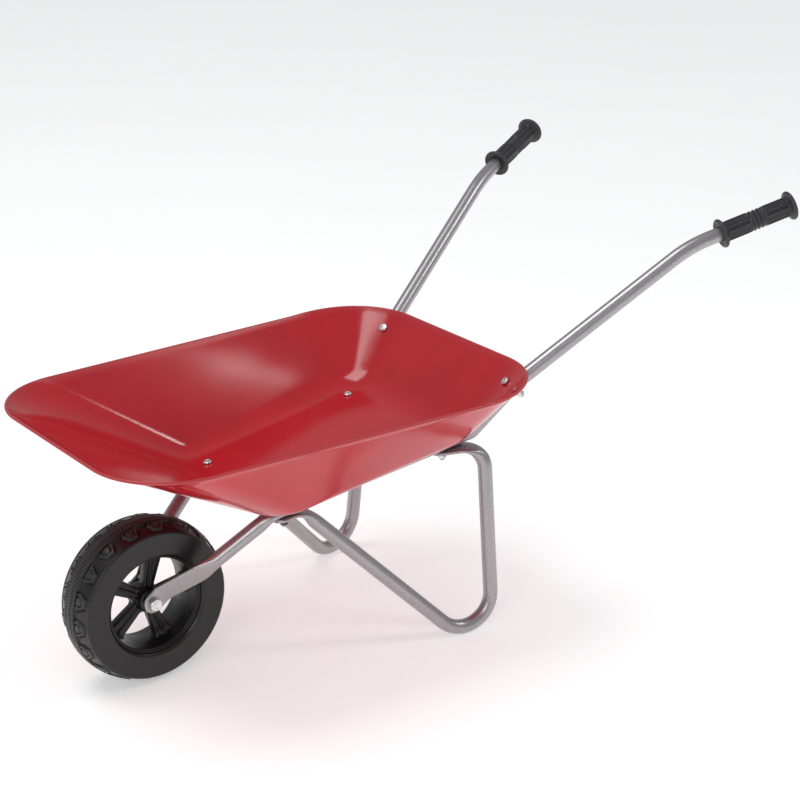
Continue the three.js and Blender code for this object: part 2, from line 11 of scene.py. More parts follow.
import bpy
import numpy as np
from mathutils import Matrix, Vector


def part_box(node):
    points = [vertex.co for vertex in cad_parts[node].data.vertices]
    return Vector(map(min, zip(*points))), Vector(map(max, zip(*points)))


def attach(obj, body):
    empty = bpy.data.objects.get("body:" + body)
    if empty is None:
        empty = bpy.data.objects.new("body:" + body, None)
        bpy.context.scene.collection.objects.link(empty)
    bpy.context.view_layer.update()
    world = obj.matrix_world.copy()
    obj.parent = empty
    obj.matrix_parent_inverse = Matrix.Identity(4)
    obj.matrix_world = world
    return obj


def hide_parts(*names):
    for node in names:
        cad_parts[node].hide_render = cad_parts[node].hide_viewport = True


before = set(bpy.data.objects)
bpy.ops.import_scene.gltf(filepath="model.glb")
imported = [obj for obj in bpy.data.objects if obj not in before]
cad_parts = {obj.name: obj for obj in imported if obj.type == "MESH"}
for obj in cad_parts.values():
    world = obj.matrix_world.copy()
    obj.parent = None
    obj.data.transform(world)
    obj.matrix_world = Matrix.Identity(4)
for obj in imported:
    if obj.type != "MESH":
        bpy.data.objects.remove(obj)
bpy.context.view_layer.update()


# %% [markdown]
# ## Where things are
#
# Everything on a barrow is set out from the axle, so the middle of the tyre is the starting point and
# lengths are in millimetres from there, with X forwards, Y to the user's left and Z up from the ground.
# One function turns them into Blender's metres.

# %% The axle
MM = 0.001
tyre_low, tyre_high = (np.array(corner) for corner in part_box("tyre"))
AXLE = (tyre_low + tyre_high) / 2
WHEEL_R = float(tyre_high[2] - tyre_low[2]) / 2 / MM
TYRE_HALF = float(tyre_high[1] - tyre_low[1]) / 2 / MM
print("axle", AXLE, "wheel radius", WHEEL_R, "half width", TYRE_HALF)


def v(*values):
    return np.array(values, dtype=float)


def unit(vector):
    return vector / np.linalg.norm(vector)


def in_metres(points):
    """Millimetres from the axle's foot on the ground, turned into the frame's metres."""
    return np.asarray(points, dtype=float) * MM + v(AXLE[0], 0, 0)


def smooth_step(t):
    t = np.clip(t, 0, 1)
    return t * t * (3 - 2 * t)


def full_turn(steps):
    """Evenly spaced angles, once round."""
    return np.linspace(0, 2 * math.pi, steps, endpoint=False)


# %% [markdown]
# ## Camera
#
# A long lens from the front and the user's left, a little above the rim, shows the inside of the tray, one
# side of the wheel and both legs. It stands two metres off, so the far side looks only a little smaller.

# %% Camera
CAMERA_AT = v(905.3, 1673.0, 1027.6)
CAMERA_TURN = math.radians(36.52)
CAMERA_DROP = math.radians(20.89)
camera_data = bpy.data.cameras.new("camera")
camera_data.lens = 90
camera_data.sensor_width = 36
camera = bpy.data.objects.new("camera", camera_data)
camera.location = in_metres(CAMERA_AT)
camera.rotation_euler = (math.pi / 2 - CAMERA_DROP, 0, math.pi - CAMERA_TURN)
bpy.context.scene.collection.objects.link(camera)
bpy.context.scene.camera = camera
bpy.context.scene.view_settings.view_transform = "Standard"
print("camera", tuple(round(c, 3) for c in camera.location))

# %% [markdown]
# ## Shader maths as plain expressions
#
# A finish is worked out from noises, ramps and masks. Wrapping a socket in a small class with overloaded
# operators lets a line such as `1 - dust * 0.5` add the Math nodes by itself, so a recipe reads like the
# sum it is. Every other kind of node comes from one method that takes its type, settings and inputs.


# %% The shader helpers
class Wire:
    """One output socket. Arithmetic on it adds Math nodes and gives a new wire."""

    def __init__(self, finish, socket):
        self.finish = finish
        self.socket = socket

    def _math(self, operation, *inputs):
        values = dict(enumerate(inputs))
        return self.finish.node("ShaderNodeMath", {"operation": operation}, values)

    def __add__(self, other):
        return self._math("ADD", self, other)

    def __mul__(self, other):
        return self._math("MULTIPLY", self, other)

    def __sub__(self, other):
        return self._math("SUBTRACT", self, other)

    def __rsub__(self, other):
        return self._math("SUBTRACT", other, self)

    def __pow__(self, other):
        return self._math("POWER", self, other)

    __radd__ = __add__
    __rmul__ = __mul__

    def between(self, low, high):
        """0 below low, 1 above high, and a smooth step from one to the other."""
        settings = {"interpolation_type": "SMOOTHSTEP"}
        inputs = {"Value": self, "From Min": low, "From Max": high}
        return self.finish.node("ShaderNodeMapRange", settings, inputs)


class Finish:
    """A material that is built up from wires."""

    def __init__(self, name):
        self.material = bpy.data.materials.new(name)
        self.material.use_nodes = True
        self.tree = self.material.node_tree
        self.tree.nodes.clear()
        self.place = self.node("ShaderNodeTexCoord", output="Object")

    def node(self, kind, settings=None, inputs=None, output=0):
        made = self.tree.nodes.new(kind)
        for key, value in (settings or {}).items():
            setattr(made, key, value)
        for key, value in (inputs or {}).items():
            if isinstance(value, Wire):
                self.tree.links.new(value.socket, made.inputs[key])
            else:
                made.inputs[key].default_value = value
        return Wire(self, made.outputs[output])

    def noise(self, size, detail=2.0, stretch=(1, 1, 1), roughness=0.5):
        """Soft random values from 0 to 1, with lumps of about this size in metres."""
        where = self.place
        if stretch != (1, 1, 1):
            scaled = {0: where, 1: tuple(1 / s for s in stretch)}
            where = self.node("ShaderNodeVectorMath", {"operation": "MULTIPLY"}, scaled)
        inputs = {"Vector": where, "Scale": 1 / size, "Detail": detail, "Roughness": roughness}
        return self.node("ShaderNodeTexNoise", None, inputs)

    def mask(self, name):
        """A value from 0 to 1 that was painted on the piece when it was made."""
        return self.node("ShaderNodeAttribute", {"attribute_name": name}, output="Fac")

    def blend(self, share, first, second):
        settings = {"data_type": "RGBA"}
        return self.node("ShaderNodeMix", settings, {0: share, 6: first, 7: second}, output=2)

    def bump(self, height, strength, distance):
        inputs = {"Height": height, "Strength": strength, "Distance": distance}
        return self.node("ShaderNodeBump", None, inputs)

    def surface(self, **inputs):
        """Ends the recipe: underscores in the names stand for spaces."""
        named = {key.replace("_", " "): value for key, value in inputs.items()}
        shader = self.node("ShaderNodeBsdfPrincipled", None, named)
        self.node_output(shader)
        print("finish", self.material.name, "with", len(self.tree.nodes), "nodes")
        return self.material

    def node_output(self, shader):
        end = self.tree.nodes.new("ShaderNodeOutputMaterial")
        self.tree.links.new(shader.socket, end.inputs["Surface"])


def rgb(red, green, blue):
    return (red, green, blue, 1.0)


# %% [markdown]
# ## Making a mesh from rings
#
# Almost every piece here is a closed skin over a row of rings: the tray from its floor to its rolled edge
# and back, a tube along its bends, the tyre from one lip over the tread to the other. So one function
# joins rings of equal count with quads. It can close the row on itself or cap its two ends.


# %% Skin over rings
def skin(name, rings, looped=False, capped=True, masks=None, closed_ring=True):
    rings = np.asarray(rings, dtype=float)
    rows, count = rings.shape[:2]
    points = [tuple(p) for p in in_metres(rings.reshape(-1, 3))]
    around = count if closed_ring else count - 1
    along = rows if looped else rows - 1
    faces = []
    for i in range(along):
        here, ahead = i * count, ((i + 1) % rows) * count
        for k in range(around):
            after = (k + 1) % count
            faces.append((here + k, here + after, ahead + after, ahead + k))
    if capped and not looped:
        for row, flip in ((0, True), (rows - 1, False)):
            middle = len(points)
            points.append(tuple(in_metres(rings[row].mean(axis=0))))
            for k in range(around):
                a, b = row * count + k, row * count + (k + 1) % count
                faces.append((b, a, middle) if flip else (a, b, middle))
    mesh = bpy.data.meshes.new(name)
    mesh.from_pydata(points, [], faces)
    mesh.validate()
    face_out(mesh)
    mesh.shade_smooth()
    for mask, values in (masks or {}).items():
        layer = mesh.attributes.new(mask, "FLOAT", "POINT")
        filled = np.zeros(len(points))
        filled[: rows * count] = np.asarray(values, dtype=float).reshape(-1)
        layer.data.foreach_set("value", filled)
    piece = bpy.data.objects.new(name, mesh)
    bpy.context.scene.collection.objects.link(piece)
    return piece


def face_out(mesh):
    """Turns the whole skin over if its signed volume says that it is inside out."""
    mesh.calc_loop_triangles()
    corners = np.zeros(len(mesh.loop_triangles) * 3, dtype=int)
    mesh.loop_triangles.foreach_get("vertices", corners)
    spots = np.zeros(len(mesh.vertices) * 3)
    mesh.vertices.foreach_get("co", spots)
    a, b, c = (spots.reshape(-1, 3)[corners.reshape(-1, 3)[:, i]] for i in range(3))
    if (a * np.cross(b, c)).sum() < 0:
        mesh.flip_normals()


def turned(name, profile, sides=96, centre=v(0, 0, 0), axis=v(0, 1, 0), looped=True, masks=None):
    """A lathe piece: (radius, height along the axis) pairs, swept round the axis through a centre."""
    axis = unit(axis)
    across = unit(np.cross(axis, v(0.13, 0.07, 0.99)))
    third = np.cross(axis, across)
    angle = full_turn(sides)
    spin = np.outer(np.cos(angle), across) + np.outer(np.sin(angle), third)
    rings = [centre + axis * height + spin * radius for radius, height in profile]
    return skin(name, rings, looped=looped, capped=not looped, masks=masks)


def rounded(corners, radius, steps=4):
    """The same outline with each corner cut back and rounded, for edges that catch the light."""
    corners = [v(*c) for c in corners]
    out = []
    for i, corner in enumerate(corners):
        before, after = corners[i - 1], corners[(i + 1) % len(corners)]
        reach = min(radius, 0.45 * np.linalg.norm(before - corner), 0.45 * np.linalg.norm(after - corner))
        start, end = corner + unit(before - corner) * reach, corner + unit(after - corner) * reach
        for t in np.linspace(0, 1, steps + 1):
            out.append((1 - t) ** 2 * start + 2 * t * (1 - t) * corner + t * t * end)
    return out


def finish_piece(piece, material, body, slot, *nodes):
    piece.data.materials.append(material)
    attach(piece, body)
    if nodes:
        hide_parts(*nodes)
    print(piece.name, len(piece.data.vertices), "points")
    return piece


# %% [markdown]
# ## Red enamel
#
# The tray is sprayed with glossy enamel. Gloss paint is never quite flat: it has a faint orange peel and
# long shallow waves from the sheet below, and both are what make a reflection look real. Fine dust and
# handling leave it slightly duller in patches, and the rolled edge is rougher and painted paler pink as a
# painted highlight.

# %% The enamel recipe
RED = rgb(0.57, 0.012, 0.022)
RED_DEEP = rgb(0.51, 0.010, 0.019)
RED_EDGE_HIGHLIGHT = rgb(0.50, 0.060, 0.068)


def red_enamel():
    paint = Finish("red_enamel")
    patches = paint.noise(0.09, detail=3)
    peel = paint.noise(0.0016, detail=2)
    grit = paint.noise(0.0007, detail=1).between(0.66, 0.8)
    scratch = paint.noise(0.004, detail=4, stretch=(14, 1.2, 1.2)).between(0.70, 0.76)
    rolled = paint.mask("rolled_edge")
    colour = paint.blend(patches.between(0.3, 0.7), RED_DEEP, RED)
    # Painted highlight: the rolled edge is blended towards a paler pink.
    colour = paint.blend(rolled * (0.35 + 0.3 * patches), colour, RED_EDGE_HIGHLIGHT)
    rough = 0.08 + 0.06 * patches + 0.08 * grit + 0.10 * scratch + 0.18 * rolled
    normal = paint.bump(peel + 0.25 * grit - 0.2 * scratch, 0.10, 0.0004)
    return paint.surface(Base_Color=colour, Roughness=rough, Normal=normal, IOR=1.52)


ENAMEL = red_enamel()

# %% [markdown]
# ## The shape of the tray
#
# The tray is pressed from one sheet: a flat floor that rises towards the user, straight walls that lean
# outwards, round corners, and an edge rolled outwards into a bead. Both the floor and the rim are rounded
# rectangles, so each wall point runs from a floor point to the rim point with the same number.

# %% Outlines of the floor and the rim
FLOOR_TILT = 0.158
FLOOR_AT = (-126.0, 184.4)
FLOOR = dict(rear=-350, front=-104, rear_half=113, front_half=105, rear_r=34, front_r=36)
RIM = dict(rear=-411, front=91, rear_half=178, front_half=167, rear_r=88, front_r=84)
RIM_HEIGHT = 284.6
RIM_TILT = 0.006
REAR_LIFT = 4.5
LIFT_FROM = -300
CORNER_STEPS = 26
SIDE_STEPS = 30
END_STEPS = 14


def floor_z(x):
    return FLOOR_AT[1] - FLOOR_TILT * (x - FLOOR_AT[0])


def rim_z(x):
    return RIM_HEIGHT - RIM_TILT * x + REAR_LIFT * smooth_step((LIFT_FROM - x) / (LIFT_FROM - RIM["rear"]))


def outline(shape):
    """Points and outward directions, from the middle of the rear edge round by the user's left."""
    spots, outs = [v(shape["rear"], 0)], [v(-1, 0)]
    rear_r, front_r = shape["rear_r"], shape["front_r"]
    corners = (
        (shape["rear"] + rear_r, shape["rear_half"] - rear_r, rear_r, math.pi),
        (shape["front"] - front_r, shape["front_half"] - front_r, front_r, math.pi / 2),
    )
    for (x, y, radius, start), lead in zip(corners, (END_STEPS, SIDE_STEPS)):
        first_out = v(math.cos(start), math.sin(start))
        first = v(x, y) + radius * first_out
        last, last_out = spots[-1], outs[-1]
        for t in np.linspace(0, 1, lead, endpoint=False)[1:]:
            spots.append(last + (first - last) * t)
            outs.append(last_out)
        for angle in np.linspace(start, start - math.pi / 2, CORNER_STEPS + 1):
            outs.append(v(math.cos(angle), math.sin(angle)))
            spots.append(v(x, y) + radius * outs[-1])
    end, last = v(shape["front"], 0), spots[-1]
    for t in np.linspace(0, 1, END_STEPS, endpoint=False)[1:]:
        spots.append(last + (end - last) * t)
        outs.append(v(1, 0))
    left = list(zip(spots, outs))
    right = [(spot * v(1, -1), out * v(1, -1)) for spot, out in reversed(left[1:])]
    whole = left + [(end, v(1, 0))] + right
    return np.array([s for s, _ in whole]), np.array([o for _, o in whole])


floor_line, outward = outline(FLOOR)
rim_line, _ = outline(RIM)
FOOT = np.column_stack([floor_line, floor_z(floor_line[:, 0])])
TOP = np.column_stack([rim_line, rim_z(rim_line[:, 0])])
OUT = np.column_stack([outward, np.zeros(len(outward))])
UP = (TOP - FOOT) / np.linalg.norm(TOP - FOOT, axis=1, keepdims=True)
LEAN = (UP * OUT).sum(axis=1, keepdims=True)
OUTER = OUT * UP[:, 2:] - v(0, 0, 1) * LEAN
OUTER /= np.linalg.norm(OUTER, axis=1, keepdims=True)
FLOOR_UP = unit(v(FLOOR_TILT, 0, 1))
print("tray outline of", len(FOOT), "points")

# %% [markdown]
# The sheet is thin, so its inner and outer skins are drawn as one closed loop of rings: out across the
# floor, round the fold, up the wall, over the bead and back underneath. The walls of a real pressing are
# never dead flat, so they get waves of less than a tenth of a millimetre that bend the reflections.

# %% The tray
SHEET = 1.0
FOLD = 20.0
BEAD_R = 1.7
BEAD_GAP = 0.4
WAVE_HEIGHT = 0.07


def fold_point(t, inner):
    """A point on the fold between floor and wall: 0 on the floor, 1 on the wall."""
    start = FOOT - OUT * FOLD
    start[:, 2] = floor_z(start[:, 0])
    corner, end = FOOT.copy(), FOOT + UP * FOLD
    if not inner:
        start = start - FLOOR_UP * SHEET
        corner = corner - FLOOR_UP * SHEET + OUT * (SHEET * (1 - LEAN) / UP[:, 2:])
        end = end + OUTER * SHEET
    return (1 - t) ** 2 * start + 2 * t * (1 - t) * corner + t * t * end


def floor_point(share, inner):
    edge = fold_point(0, inner)
    middle = edge.mean(axis=0)
    middle[2] = floor_z(middle[0]) - (0 if inner else SHEET / FLOOR_UP[2])
    return middle + (edge - middle) * share


def wall_point(share, inner):
    foot, top = fold_point(1, inner), TOP.copy()
    if not inner:
        top = TOP - UP * 2 * BEAD_R + OUTER * SHEET
    waves = np.sin(FOOT[:, :1] / 17 + share * 3) * np.sin(FOOT[:, 1:2] / 23 + share * 5)
    swell = WAVE_HEIGHT * math.sin(math.pi * share) * waves
    return foot + (top - foot) * share + OUTER * swell


def bead_point(degrees):
    angle = math.radians(degrees)
    centre = TOP + OUT * (BEAD_R + BEAD_GAP)
    return centre + OUT * BEAD_R * math.cos(angle) + v(0, 0, BEAD_R * math.sin(angle))


def tray_rings():
    floor_shares = np.linspace(0.06, 1, 12, endpoint=False)
    fold_shares = np.linspace(0, 1, 12, endpoint=False)
    wall_shares = np.linspace(0, 1, 14)
    inside = [floor_point(s, True) for s in floor_shares]
    inside += [fold_point(t, True) for t in fold_shares] + [wall_point(s, True) for s in wall_shares]
    outside = [wall_point(s, False) for s in wall_shares[::-1]]
    outside += [fold_point(t, False) for t in fold_shares[::-1]]
    outside += [floor_point(s, False) for s in floor_shares[::-1]]
    bead = [bead_point(d) for d in np.arange(150, -121, -15)]
    rolled = [0.0] * len(inside) + [1.0] * len(bead) + [0.0] * len(outside)
    rolled[len(inside) - 1] = 0.6
    return np.array(inside + bead + outside), rolled


rings, rolled = tray_rings()
edge_mask = np.repeat(np.array(rolled)[:, None], rings.shape[1], axis=1)
tray = skin("pressed_tray", rings, masks={"rolled_edge": edge_mask})
finish_piece(tray, ENAMEL, "frame", "tray_paint", "tray")

# %% [markdown]
# ## Silver paint on steel tube
#
# The tubes are steel with a silver paint that has fine metal flakes in it. The flakes sparkle a little
# differently from spot to spot, so both the brightness and the roughness get a very fine grain, and the
# paint is scuffed a little where the ends are pressed flat.

# %% The silver recipe
SILVER = rgb(0.50, 0.475, 0.488)
SILVER_DARK = rgb(0.32, 0.303, 0.313)
SCUFFED = rgb(0.25, 0.23, 0.22)


def silver_paint():
    paint = Finish("silver_paint")
    flakes = paint.noise(0.0009, detail=2)
    patches = paint.noise(0.03, detail=3)
    pressed = paint.mask("pressed")
    scuffs = paint.noise(0.0035, detail=5, roughness=0.7).between(0.58, 0.72) * (0.12 + 0.5 * pressed)
    colour = paint.blend(flakes.between(0.25, 0.75), SILVER_DARK, SILVER)
    colour = paint.blend(scuffs, colour, SCUFFED)
    rough = 0.25 + 0.10 * patches + 0.05 * flakes + 0.2 * scuffs
    dents = paint.noise(0.012, detail=1) * pressed
    normal = paint.bump(0.12 * flakes + dents, 0.25, 0.0005)
    return paint.surface(Base_Color=colour, Metallic=0.85, Roughness=rough, Normal=normal)


SILVER_TUBE = silver_paint()

# %% [markdown]
# ## Bending and pressing a tube
#
# A tube bender leaves straight runs with a round bend between them, and a press squeezes the tube where
# it is bolted, without changing its girth. Both are worked out here: first the centre line, then at every
# station a section that goes from a circle to a flat-sided oval, turned to face the press.


# %% The bent centre line
TUBE_R = 8.0
TUBE_SIDES = 40


def bent_line(corners, spacing=3.0):
    """Corners are (point, bend radius) pairs; the first and last have no bend."""
    line = [corners[0][0]]
    for (before, _), (at, bend), (after, _) in zip(corners, corners[1:], corners[2:]):
        back, ahead = unit(before - at), unit(after - at)
        half = math.acos(float(np.clip(back @ ahead, -1, 1))) / 2
        centre = at + unit(back + ahead) * bend / math.sin(half)
        start = at + back * bend / math.tan(half) - centre
        normal = unit(np.cross(back, start))
        side = np.cross(normal, start)
        sweep = math.pi - 2 * half
        for t in np.linspace(0, sweep, max(3, round(sweep * bend / spacing)) + 1):
            line.append(centre + start * math.cos(t) + side * math.sin(t))
    line.append(corners[-1][0])
    return np.array(line)


def even_stations(line, spacing=4.0):
    miles = np.concatenate([[0], np.cumsum(np.linalg.norm(np.diff(line, axis=0), axis=1))])
    count = max(2, round(miles[-1] / spacing))
    at = np.linspace(0, miles[-1], count + 1)
    return at, np.column_stack([np.interp(at, miles, line[:, i]) for i in range(3)])


def nearest(at, spots, point):
    return at[np.argmin(np.linalg.norm(spots - point, axis=1))]


# %% The pressed section
PLATE_HALF = 2.0


def section_turns(tangents, at, presses):
    """Across and thickness directions at every station, easing from one press's normal to the next."""
    ups, up = [], v(0.3, 0.5, 0.81)
    for tangent in tangents:
        up = unit(up - tangent * (up @ tangent))
        ups.append(up)
    ups = np.array(ups)
    lefts = np.cross(tangents, ups)
    known = []
    for i, mile in enumerate(at):
        press = next((p for p in presses if abs(mile - p["mile"]) <= p["flat"] + 0.5 * p["blend"]), None)
        if press is not None:
            angle = math.atan2(press["normal"] @ lefts[i], press["normal"] @ ups[i])
            if known:
                angle -= math.pi * round((angle - known[-1][1]) / math.pi)
            known.append((mile, angle))
    angles = np.interp(at, [k[0] for k in known], [k[1] for k in known])[:, None]
    normals = ups * np.cos(angles) + lefts * np.sin(angles)
    return np.cross(tangents, normals), normals


def finer_ends(at, spots, rounded_ends):
    """Extra stations close to each rounded end, so that its nose comes out round."""
    tips = np.array([0.05, 0.4, 1.0, 1.7])
    extra = [tips] * ("start" in rounded_ends) + [at[-1] - tips] * ("end" in rounded_ends)
    finer = np.unique(np.concatenate([at, *extra]))
    return finer, np.column_stack([np.interp(finer, at, spots[:, i]) for i in range(3)])


def squeezed(at, spots, presses):
    """Half the thickness, the shift to one side and the share of pressing, at every station."""
    half, shift, pressed = np.full(len(at), TUBE_R), np.zeros_like(spots), np.zeros(len(at))
    for press in presses:
        amount = 1 - smooth_step((abs(at - press["mile"]) - press["flat"]) / press["blend"])
        squeeze = (TUBE_R - press["half"]) * amount
        half = np.minimum(half, TUBE_R - squeeze)
        pressed = np.maximum(pressed, amount)
        shift += press["normal"] * (press.get("bias", 0) * squeeze)[:, None]
    return half, shift, pressed


def half_width(at, half, rounded_ends):
    """Half the width that keeps the tube's girth, drawn in towards a rounded end."""
    wide = half + math.pi / 2 * (TUBE_R - half)
    gaps = [at] * ("start" in rounded_ends) + [at[-1] - at] * ("end" in rounded_ends)
    for gap in gaps:
        near = np.clip(gap / wide, 0, 1)
        wide = wide * np.sqrt(np.maximum(0.02, 1 - (1 - near) ** 2))
    return wide


# %% The pressed tube
def pressed_tube(name, corners, presses, rounded_ends):
    at, spots = finer_ends(*even_stations(bent_line(corners), 2.5), rounded_ends)
    ahead = np.gradient(spots, at, axis=0)
    tangents = ahead / np.linalg.norm(ahead, axis=1, keepdims=True)
    for press in presses:
        press["mile"] = nearest(at, spots, press["at"])
    sides, normals = section_turns(tangents, at, presses)
    half, shift, pressed = squeezed(at, spots, presses)
    wide = half_width(at, half, rounded_ends)
    half = np.minimum(half, wide)
    turn = (np.arange(TUBE_SIDES) + 0.5) * 2 * math.pi / TUBE_SIDES
    across = np.sign(np.cos(turn)) * (wide - half)[:, None] + np.cos(turn) * half[:, None]
    through = np.sin(turn) * half[:, None]
    rings = (spots + shift)[:, None] + across[..., None] * sides[:, None]
    rings = rings + through[..., None] * normals[:, None]
    mask = np.repeat(pressed[:, None], TUBE_SIDES, axis=1)
    return skin(name, rings, masks={"pressed": mask})


# %% [markdown]
# ## Bolted joints
#
# Two screws through the floor and one through the rear wall hold each side together. The floor screws go
# through the tray, the handle tube and the flat end of a leg, so the depths of all three are set out
# from the floor's face once, and the tubes, screws, washers and nuts all use them.

# %% Where each screw goes
GAP = 0.3
PRESS_HALF = 4.5
FLOOR_SCREWS = {"floor_front": (-126.0, 72.9), "floor_rear": (-323.2, 86.7)}
WALL_SCREW_Y = 112.0
WALL_SCREW_SHARE = 0.77
TUBE_TOP = SHEET + GAP
PLATE_MIDDLE = TUBE_TOP + 2 * PRESS_HALF + GAP + PLATE_HALF
WASHER_TOP = PLATE_MIDDLE + PLATE_HALF + GAP
WALL_TUBE = SHEET + GAP + TUBE_R


def below_floor(x, y, depth):
    return v(x, y, floor_z(x)) - FLOOR_UP * depth


def wall_spot(y, share):
    """A point on the rear wall's inner face at a sideways distance, and the way out of the wall."""
    rear = slice(END_STEPS - 1, END_STEPS + CORNER_STEPS)
    spots = FOOT[rear] + (TOP[rear] - FOOT[rear]) * share
    point = v(*(np.interp(y, spots[:, 1], spots[:, i]) for i in range(3)))
    way = v(*(np.interp(y, spots[:, 1], OUTER[rear][:, i]) for i in range(3)))
    return point, unit(way)


WALL_AT, WALL_OUT = wall_spot(WALL_SCREW_Y, WALL_SCREW_SHARE)
SCREWS = {
    name: dict(at=below_floor(x, y, 0), into=-FLOOR_UP, grip=WASHER_TOP, seat=GAP)
    for name, (x, y) in FLOOR_SCREWS.items()
}
SCREWS["wall"] = dict(at=WALL_AT, into=WALL_OUT, grip=WALL_TUBE + TUBE_R + 1.2, seat=GAP + 0.3)
SIDES = (("left", 1), ("right", -1))
print("wall screw at", WALL_AT.round(1))


def on_side(point, side):
    return point * v(1, side, 1)


# %% [markdown]
# ## Handle tubes
#
# Each handle is one tube. It leaves the grip, bends down, passes behind the rear wall, runs under the
# floor, bends down again to the axle and ends in a flat, round-nosed plate beside the wheel. The run
# under the floor is pressed shallow from end to end, so the tray sits low and flat on it.

# %% Handle tubes
GRIP_DIR = unit(v(-0.897, 0.325, 0.298))
GRIP_AT = v(-623.5, 193, 419.6)
GRIP_LENGTH = 89.0
GRIP_WALL = 3.5
SLEEVE_HALF = 16
AXLE_WASHER_H = 1
PLATE_Y = SLEEVE_HALF + GAP + AXLE_WASHER_H + GAP + PLATE_HALF
END_REACH = 11.4


def handle_tube(side_name, side):
    grip_bend = GRIP_AT - GRIP_DIR * 36
    wall_bend = WALL_AT + WALL_OUT * WALL_TUBE
    rear_corner = below_floor(-354, 89.5, TUBE_TOP + TUBE_R)
    run = grip_bend - rear_corner
    along_wall = unit(run - WALL_OUT * (run @ WALL_OUT))
    nose = v(0.8 * END_REACH, PLATE_Y, WHEEL_R - 0.6 * END_REACH)
    corners = [
        (GRIP_AT + GRIP_DIR * (GRIP_LENGTH - GRIP_WALL - 2), 0),
        (grip_bend, 150),
        (wall_bend + along_wall * 2, 24),
        (wall_bend - along_wall * 16, 24),
        (rear_corner, 34),
        (below_floor(-106, 70.3, TUBE_TOP + TUBE_R), 40),
        (v(-42, 47.5, 123), 30),
        (v(-10.5, PLATE_Y, WHEEL_R + 7.9), 8),
        (nose, 0),
    ]
    corners = [(on_side(at, side), bend) for at, bend in corners]
    under_floor = on_side(below_floor(-231, 80.3, TUBE_TOP + TUBE_R), side)
    presses = [
        dict(at=under_floor, normal=FLOOR_UP, half=PRESS_HALF, flat=118, blend=16, bias=1),
        dict(at=on_side(nose, side), normal=v(0, side, 0), half=PLATE_HALF, flat=68, blend=30),
    ]
    return pressed_tube(f"bent_handle_{side_name}", corners, presses, ["end"])


for side_name, side in SIDES:
    tube = handle_tube(side_name, side)
    finish_piece(tube, SILVER_TUBE, "frame", "tube_paint", f"handle_tube_{side_name}")

# %% [markdown]
# ## Legs
#
# Each leg is a loop of the same tube: a flat end under the handle tube, a slanting run down to the foot
# bend, and an upright that bends over the top to the second flat end. A skid shape like this slides over
# grass instead of digging in.


# %% Legs
def leg(side_name, side):
    front_plate = below_floor(*FLOOR_SCREWS["floor_front"], PLATE_MIDDLE)
    rear_plate = below_floor(*FLOOR_SCREWS["floor_rear"], PLATE_MIDDLE)
    knee = below_floor(-147, 74, PLATE_MIDDLE)
    top_corner = below_floor(-361.9, 112, PLATE_MIDDLE)
    corners = [
        (front_plate + unit(front_plate - knee) * END_REACH, 0),
        (knee, 24),
        (v(-358.7, 141.6, -41.85), 35.2),
        (top_corner, 24),
        (rear_plate + unit(rear_plate - top_corner) * END_REACH, 0),
    ]
    corners = [(on_side(at, side), bend) for at, bend in corners]
    presses = [
        dict(at=on_side(front_plate, side), normal=FLOOR_UP, half=PLATE_HALF, flat=13, blend=30),
        dict(at=on_side(rear_plate, side), normal=FLOOR_UP, half=PLATE_HALF, flat=26, blend=22),
    ]
    return pressed_tube(f"bent_leg_{side_name}", corners, presses, ["start", "end"])


for side_name, side in SIDES:
    finish_piece(leg(side_name, side), SILVER_TUBE, "frame", "tube_paint", f"leg_{side_name}")

# %% [markdown]
# ## Black rubber
#
# The grips are soft black rubber, satin rather than glossy, with a very fine pitted skin from the mould
# and paler patches of dust. Raised relief is painted paler than the grooves, a painted highlight that leaves
# the hollows as painted shade.


# %% The rubber recipe
def black_rubber(name, dark, dust_and_highlight, pit_size, gloss):
    rubber = Finish(name)
    pits = rubber.noise(pit_size, detail=3, roughness=0.65)
    dust = rubber.noise(0.02, detail=4).between(0.4, 0.75)
    raised = rubber.mask("raised")
    # Painted highlight and shade: raised relief is blended towards the pale colour, the grooves stay dark;
    # dust adds real pale patches.
    colour = rubber.blend(0.20 * dust + 0.65 * raised, dark, dust_and_highlight)
    rough = gloss + 0.12 * dust + 0.08 * pits - 0.06 * raised
    normal = rubber.bump(pits, 0.25, 0.00035)
    return rubber.surface(Base_Color=colour, Roughness=rough, Normal=normal, IOR=1.5)


GRIP_RUBBER = black_rubber("grip_rubber", rgb(0.020, 0.019, 0.021), rgb(0.062, 0.058, 0.063), 0.0008, 0.36)
TYRE_RUBBER = black_rubber("tyre_rubber", rgb(0.007, 0.0065, 0.007), rgb(0.030, 0.028, 0.031), 0.0011, 0.28)
RIM_PLASTIC = black_rubber("rim_plastic", rgb(0.006, 0.0055, 0.006), rgb(0.018, 0.017, 0.019), 0.0015, 0.30)

# %% [markdown]
# ## Grips
#
# A grip is a sleeve with a collar at each end, so that a hand can't slide off. Three rings mark its middle
# and long round-ended flutes run from them to the collars. It is turned like a lathe piece, and the rings
# and flutes are cut by changing the radius at each point.

# %% Grips
GRIP_R = 10.7
COLLAR_R = 16.4
COLLAR_H = 5.0
FLUTES = 6
FLUTE_MIDDLE = 23.5
FLUTE_HALF = 12.0
RING_ZONE = 7.4
RING_PITCH = 4.8
GRIP_SIDES = 168


